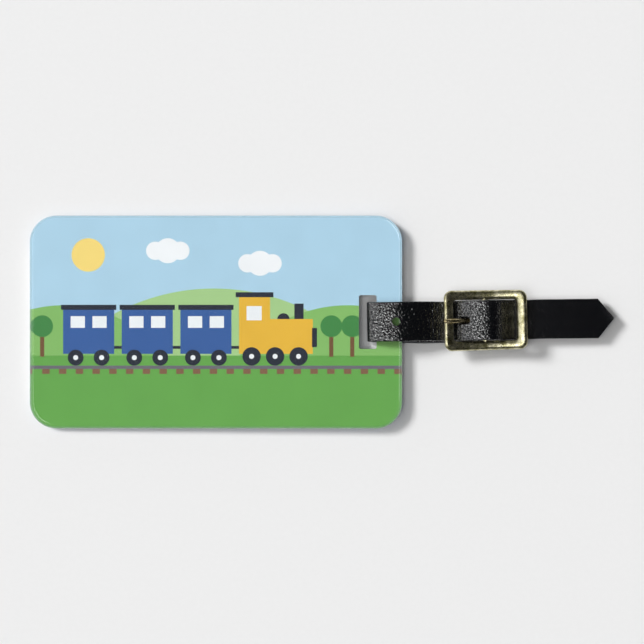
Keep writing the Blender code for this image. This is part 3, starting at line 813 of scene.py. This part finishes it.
def mark_strip(shape, places, section):
    """Gives a strip its UV map in mm, along it and round it, and marks each face as face, cut or back."""
    count = len(section)
    uv = shape.loops.layers.uv.new("strap")
    kind_layer = shape.loops.layers.float_color.new("kind")
    shape.verts.index_update()
    girth = [0.0]
    for (u0, v0, _), (u1, v1, _) in zip(section, section[1:] + section[:1]):
        girth.append(girth[-1] + math.hypot(u1 - u0, v1 - v0))
    kinds = [kind for _, _, kind in section]
    for face in shape.faces:
        indices = [v.index for v in face.verts]
        if len({i // count for i in indices}) == 1:
            for loop in face.loops:
                u, v, _ = section[loop.vert.index % count]
                loop[uv].uv = (u / MM, 40 + v / MM)
                loop[kind_layer] = CUT_KIND
            continue
        columns = [i % count for i in indices]
        wraps = 0 in columns and count - 1 in columns
        k = max(columns) if wraps else min(columns)
        pair = kinds[k], kinds[(k + 1) % count]
        kind = 1 if 1 in pair else kinds[k]
        for loop in face.loops:
            i = loop.vert.index
            column = count if wraps and i % count == 0 else i % count
            loop[uv].uv = (places[i // count] / MM, girth[column] / MM)
            loop[kind_layer] = (FACE_KIND, CUT_KIND, BACK_KIND)[kind]


def post(name, place, radius, bottom, top, aside=0.0):
    outline = disc(place, aside, radius)
    rings = [[(x, y, z) for x, y in outline] for z in (bottom, top)]
    return to_object(name, skin(rings), None, STRAP_POSE)


def prong_hole():
    path = upper_path()
    x, z = height_at(path, PRONG_HOLE_PLACE)
    ahead = height_at(path, PRONG_HOLE_PLACE + 0.3 * MM)
    slope = math.atan2(ahead[1] - z, ahead[0] - x)
    outline = rod(-PRONG_HOLE_HALF, 0, PRONG_HOLE_HALF, 0, PRONG_HOLE_RADIUS, 14)
    rings = [[(u, v, w) for u, v in outline] for w in (-STRAP, STRAP)]
    pose = STRAP_POSE @ Matrix.Translation((x, 0, z)) @ Matrix.Rotation(-slope, 4, "Y")
    return to_object("prong_hole", skin(rings), None, pose)


def fold_slot():
    """The slot through the fold, in which the prong's loop turns."""
    start, low_start = BAR_PLACE - 2.6 * MM, BAR_PLACE - 3.7 * MM
    flap_top = UPPER_Z - 0.2 * MM
    path = [(x, z) for x, z in fold_points() if x > start or x > low_start and z > flap_top]
    half, tall = 1.05 * MM, 1.0 * MM
    rings = []
    for (x, z), along in zip(path, directions(path)):
        section = ((-half, -tall), (half, -tall), (half, tall), (-half, tall))
        rings.append([(x - along.y * v, u, z + along.x * v) for u, v in section])
    return to_object("fold_slot", skin(rings), None, STRAP_POSE)


def creases(x, z, u):
    """Fine wrinkles across the face where the strap has been pulled through the buckle."""
    if z < UPPER_Z - 0.3 * MM:
        return 0.0
    lift = 0.0
    for centre, width, height, lean in CREASES:
        from_centre = (x / MM - centre - lean * u / MM) / width
        lift += height * MM * math.exp(-from_centre * from_centre)
    return lift


def main_half_width(x):
    spread = 0.05 * MM
    return STRAP_WIDTH / 2 + spread * in_buckle(x)


def tip_half_width(x):
    share = clamped((x - TIP_SHOULDER) / (TIP_END - TIP_SHOULDER))
    return (STRAP_WIDTH * (1 - share) + TIP_POINT * share) / 2


def build_main_strip(hide, rng):
    """The flap, the lower run, the bend through the slot and the upper run, all in one piece."""
    upper = trimmed(upper_path(), bend_points()[-1][0] + 0.001 * MM, TIP_SEAM)
    path = evenly(joined(fold_points()[::-1], bend_points(), upper), 0.3 * MM)
    made = build_strip("strap_main", path, hide, rng, main_half_width, lower_shift, 0.0, creases)
    run = height_at(upper_path(), RUN_CREST_PLACE)[1]
    aside = lower_shift(RIVET_PLACE, LOWER_Z)
    cut(
        made,
        [
            post("punched_hole", RUN_CREST_PLACE, PUNCH_RADIUS, run - STRAP, run + STRAP),
            prong_hole(),
            fold_slot(),
            post("rivet_bore", RIVET_PLACE, RIVET_BORE, -STRAP, FLAP_Z + 0.7 * MM, aside),
            post("rivet_seat", RIVET_PLACE, RIVET_SEAT, -STRAP, 0.4 * MM, aside),
        ],
    )
    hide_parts("strap_bend", "strap_lower", "strap_upper")
    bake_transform(made)


def build_point(hide, rng):
    """The free end beyond the buckle, drooping a little to its point."""
    start = TIP_FLEX + 0.4 * MM
    droop = curve(
        (start, UPPER_Z), (46 * MM, UPPER_Z),
        (52 * MM, UPPER_Z - 0.4 * TIP_DROP), (TIP_END, UPPER_Z - TIP_DROP), 30,
    )
    path = joined(
        evenly([(TIP_SEAM + 0.01 * MM, UPPER_Z), (start, UPPER_Z)], 0.4 * MM),
        evenly(trimmed(droop, start, TIP_SHOULDER), 0.4 * MM),
        evenly(trimmed(droop, TIP_SHOULDER, TIP_END), 0.2 * MM),
    )
    made = build_strip("strap_point", path, hide, rng, tip_half_width, None, 90 * MM)
    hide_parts("strap_tip")
    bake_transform(made)


def build_strap():
    rng = random.Random(4)
    hide = leather()
    build_main_strip(hide, rng)
    build_point(hide, rng)


# ----------------------------------------------------------------- buckle


def tapered_outline(x0, x1, half_left, half_right, corner, corner_steps=14, side_steps=16):
    corners = (
        (x1, half_right, -1, -1), (x0, half_left, 1, -1), (x0, -half_left, 1, 1), (x1, -half_right, -1, 1),
    )
    turns = []
    for quarter, (x, y, inward_x, inward_y) in enumerate(corners):
        centre = (x + inward_x * corner, y + inward_y * corner)
        turns.append(arc(centre, corner, quarter * TAU / 4, (quarter + 1) * TAU / 4, corner_steps))
    outline = []
    for i, turn in enumerate(turns):
        outline += turn
        start, end = Vector(turn[-1]), Vector(turns[(i + 1) % 4][0])
        outline += [tuple(start.lerp(end, k / side_steps)) for k in range(1, side_steps)]
    return outline


def frame_bottom(x):
    half = FRAME_LENGTH / 2
    inner = half - BAR_LEFT
    lowest = UPPER_Z + STRAP / 2 + FRAME_CLEARANCE - FRAME_RISE * (inner / half) ** 2
    return lowest + FRAME_RISE * (x / half) ** 2 - BAR_HEIGHT


def frame_section(steps=40):
    """The cast rail's outline in a unit square: a circle drawn out towards the corners."""
    section = []
    for i in range(steps):
        turn = TAU * (i + 0.5) / steps
        section.append(tuple(
            0.5 + 0.5 * math.copysign(abs(v) ** FRAME_ROUNDNESS, v) for v in (math.cos(turn), math.sin(turn))
        ))
    return section


def build_frame(finish):
    half = FRAME_LENGTH / 2
    outer = tapered_outline(-half, half, FRAME_LEFT / 2, FRAME_RIGHT / 2, FRAME_CORNER)
    inner = tapered_outline(-half + BAR_LEFT, half - BAR_RIGHT, OPENING / 2, OPENING / 2, INNER_CORNER)
    rings = []
    for (x_out, y_out), (x_in, y_in) in zip(outer, inner):
        ring = []
        for across, up in frame_section():
            x, y = x_in + (x_out - x_in) * across, y_in + (y_out - y_in) * across
            ring.append((x, y, frame_bottom(x) + FRAME_THICKNESS * up))
        rings.append(ring)
    made = to_object("buckle_casting", skin(rings, closed=True), finish, BUCKLE_POSE, 60)
    reach = OPENING / 2 + BAR_LEFT / 2
    turns = [TAU * i / 48 for i in range(48)]
    bar = [[(BAR_RADIUS * math.cos(a), y, BAR_RADIUS * math.sin(a)) for a in turns] for y in (-reach, reach)]
    cut(made, [to_object("bar", skin(bar), finish, BUCKLE_POSE)], "UNION")
    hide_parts("buckle_frame")
    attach(made, "buckle")


def prong_path():
    """Round the bar, down into the opening, up over the frame's left rail and straight to its end."""
    leave = math.radians(125)
    loop = arc((0, 0), LOOP_RADIUS, math.radians(-172), leave, 60)
    start, fall = loop[-1], leave + TAU / 4
    dip = (-3.5 * MM, 0.72 * MM)
    rest = frame_bottom(FRAME_LENGTH / 2) + FRAME_THICKNESS + PRONG_RADIUS + 0.04 * MM
    over, tip = (-8.0 * MM, rest), (PRONG_TIP - BAR_PLACE, rest)
    return joined(
        loop,
        curve(
            start, (start[0] + 1.2 * MM * math.cos(fall), start[1] + 1.2 * MM * math.sin(fall)),
            (dip[0] + 0.8 * MM, dip[1]), dip, 14,
        ),
        curve(dip, (dip[0] - 0.9 * MM, dip[1]), (over[0] + 1.6 * MM, rest), over, 22),
        [((over[0] + tip[0]) / 2, rest), tip],
    )


def prong_ring(point, along, radius):
    return [
        (point[0] - along.y * v, u, point[1] + along.x * v) for u, v in disc(0.0, 0.0, radius, 24)
    ]


def build_prong(finish):
    """A round wire with a rounded edge where it was cut off and a domed tip."""
    path = prong_path()
    headings = directions(path)
    rings = []
    for degrees in (80, 60, 40, 20):
        a = math.radians(degrees)
        point = Vector(path[0]) - headings[0] * 0.2 * MM * math.sin(a)
        rings.append(prong_ring(point, headings[0], PRONG_RADIUS - 0.2 * MM * (1 - math.cos(a))))
    rings += [prong_ring(point, along, PRONG_RADIUS) for point, along in zip(path, headings)]
    for degrees in (15, 30, 45, 60, 72, 82):
        a = math.radians(degrees)
        point = Vector(path[-1]) + headings[-1] * 0.46 * MM * math.sin(a)
        rings.append(prong_ring(point, headings[-1], PRONG_RADIUS * math.cos(a)))
    made = to_object("buckle_pin", skin(rings), finish, BUCKLE_POSE, 60)
    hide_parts("buckle_prong")
    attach(made, "prong")


# ------------------------------------------------------------------ stage


def build_floor():
    shape = bmesh.new()
    bmesh.ops.create_grid(shape, x_segments=1, y_segments=1, size=1.5)
    floor = to_object("table_top", shape, table_top(), Matrix.Translation((0, 0, -0.02 * MM)))
    if floor.data.polygons[0].normal.z < 0:
        floor.data.flip_normals()


def build_room():
    """A dim room that is brighter low down, with a tall window and two soft lights for the sheens."""
    world = bpy.context.scene.world or bpy.data.worlds.new("room")
    bpy.context.scene.world = world
    world.use_nodes = True
    tree = world.node_tree
    tree.nodes.clear()
    out = tree.nodes.new("ShaderNodeOutputWorld")
    glow = tree.nodes.new("ShaderNodeBackground")
    where = tree.nodes.new("ShaderNodeTexCoord").outputs["Generated"]

    def facing(direction, low, high, to_low, to_high):
        """How far a direction faces the given one, as a smooth step between two cosines."""
        turn = tree.nodes.new("ShaderNodeVectorMath")
        turn.operation = "DOT_PRODUCT"
        tree.links.new(where, turn.inputs[0])
        turn.inputs[1].default_value = direction
        step = tree.nodes.new("ShaderNodeMapRange")
        step.interpolation_type = "SMOOTHSTEP"
        tree.links.new(turn.outputs["Value"], step.inputs["Value"])
        for key, number in (("From Min", low), ("From Max", high), ("To Min", to_low), ("To Max", to_high)):
            step.inputs[key].default_value = number
        return step.outputs["Result"]

    def combine(operation, first, *others):
        for other in others:
            made = tree.nodes.new("ShaderNodeMath")
            made.operation = operation
            tree.links.new(first, made.inputs[0])
            tree.links.new(other, made.inputs[1])
            first = made.outputs[0]
        return first

    up, left, back = (0, 0, 1), (-1, 0, 0), (0, 1, 0)
    walls = combine(
        "MULTIPLY", facing(up, 0.0, 0.55, 0.9, 0.08), facing((-0.90, 0.43, 0), -0.45, 0.7, 0.25, 1.2)
    )
    window = combine(
        "MULTIPLY",
        facing(left, 0.10, 0.26, 0.0, 0.9),
        facing(up, 0.5, 0.94, 0.6, 1.0),
        facing(back, -0.65, -0.35, 0.0, 1.0),
        facing(back, 0.35, 0.65, 1.0, 0.0),
    )
    overhead = facing(Vector((-0.30, -0.17, 0.94)).normalized(), 0.980, 0.995, 0.0, 6.0)
    slanting = facing(Vector((-0.72, 0.10, 0.68)).normalized(), 0.970, 0.992, 0.0, 1.4)
    tree.links.new(combine("ADD", walls, window, overhead, slanting), glow.inputs["Strength"])
    tree.links.new(glow.outputs[0], out.inputs["Surface"])


def build_lamp(name, direction, size, power):
    """A round lamp aimed at the middle. It lights the matt surfaces, and the room gives what they mirror."""
    light = bpy.data.lights.new(name, "AREA")
    light.shape = "DISK"
    light.size = size
    light.energy = power
    made = bpy.data.objects.new(name, light)
    towards = Vector(direction).normalized()
    made.location = towards * LAMP_DISTANCE
    made.rotation_euler = towards.to_track_quat("Z", "Y").to_euler()
    bpy.context.scene.collection.objects.link(made)
    made.visible_glossy = False
    made.visible_transmission = False


def build_stage():
    build_floor()
    build_room()
    build_lamp("key", (-1.02, 0.55, 1.0), 3.5, 1265)
    build_lamp("fill", (0.0, 0.0, 1.0), 7.8, 215)


def build_camera(lo, hi):
    """Straight down from well above, over the middle of the whole object rather than of the tag."""
    camera = bpy.data.cameras.new("camera")
    camera.type = "PERSP"
    camera.lens = CAMERA_LENS
    camera.sensor_width = 36
    camera.clip_start = 0.01
    camera.clip_end = 50
    camera.dof.use_dof = False
    made = bpy.data.objects.new("camera", camera)
    made.location = ((lo.x + hi.x) / 2 + CAMERA_ASIDE, (lo.y + hi.y) / 2, hi.z + CAMERA_RISE)
    made.rotation_euler = (0, 0, 0)
    bpy.context.scene.collection.objects.link(made)
    bpy.context.scene.camera = made


def paint_node(name, material):
    """Gives a CAD node that stays as it is a better material."""
    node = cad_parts[name]
    node.data.materials.clear()
    node.data.materials.append(material)


def main():
    bpy.context.scene.view_settings.view_transform = "Standard"
    bpy.context.scene.view_settings.look = "None"
    lo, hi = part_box("front_cover")
    build_tag()
    build_strap()
    build_frame(brass("buckle_brass", (0.84, 0.79, 0.55), (0.33, 0.31, 0.15), 0.29, 0.06 * MM))
    build_prong(brass("prong_brass", (0.88, 0.76, 0.48), (0.50, 0.40, 0.20), 0.22, 0.02 * MM))
    rivet = brass("rivet_brass", (0.78, 0.66, 0.40), (0.60, 0.48, 0.26), 0.30, 0.02 * MM)
    paint_node("rivet_post", rivet)
    paint_node("rivet_cap", rivet)
    build_stage()
    build_camera(lo, hi)


main()
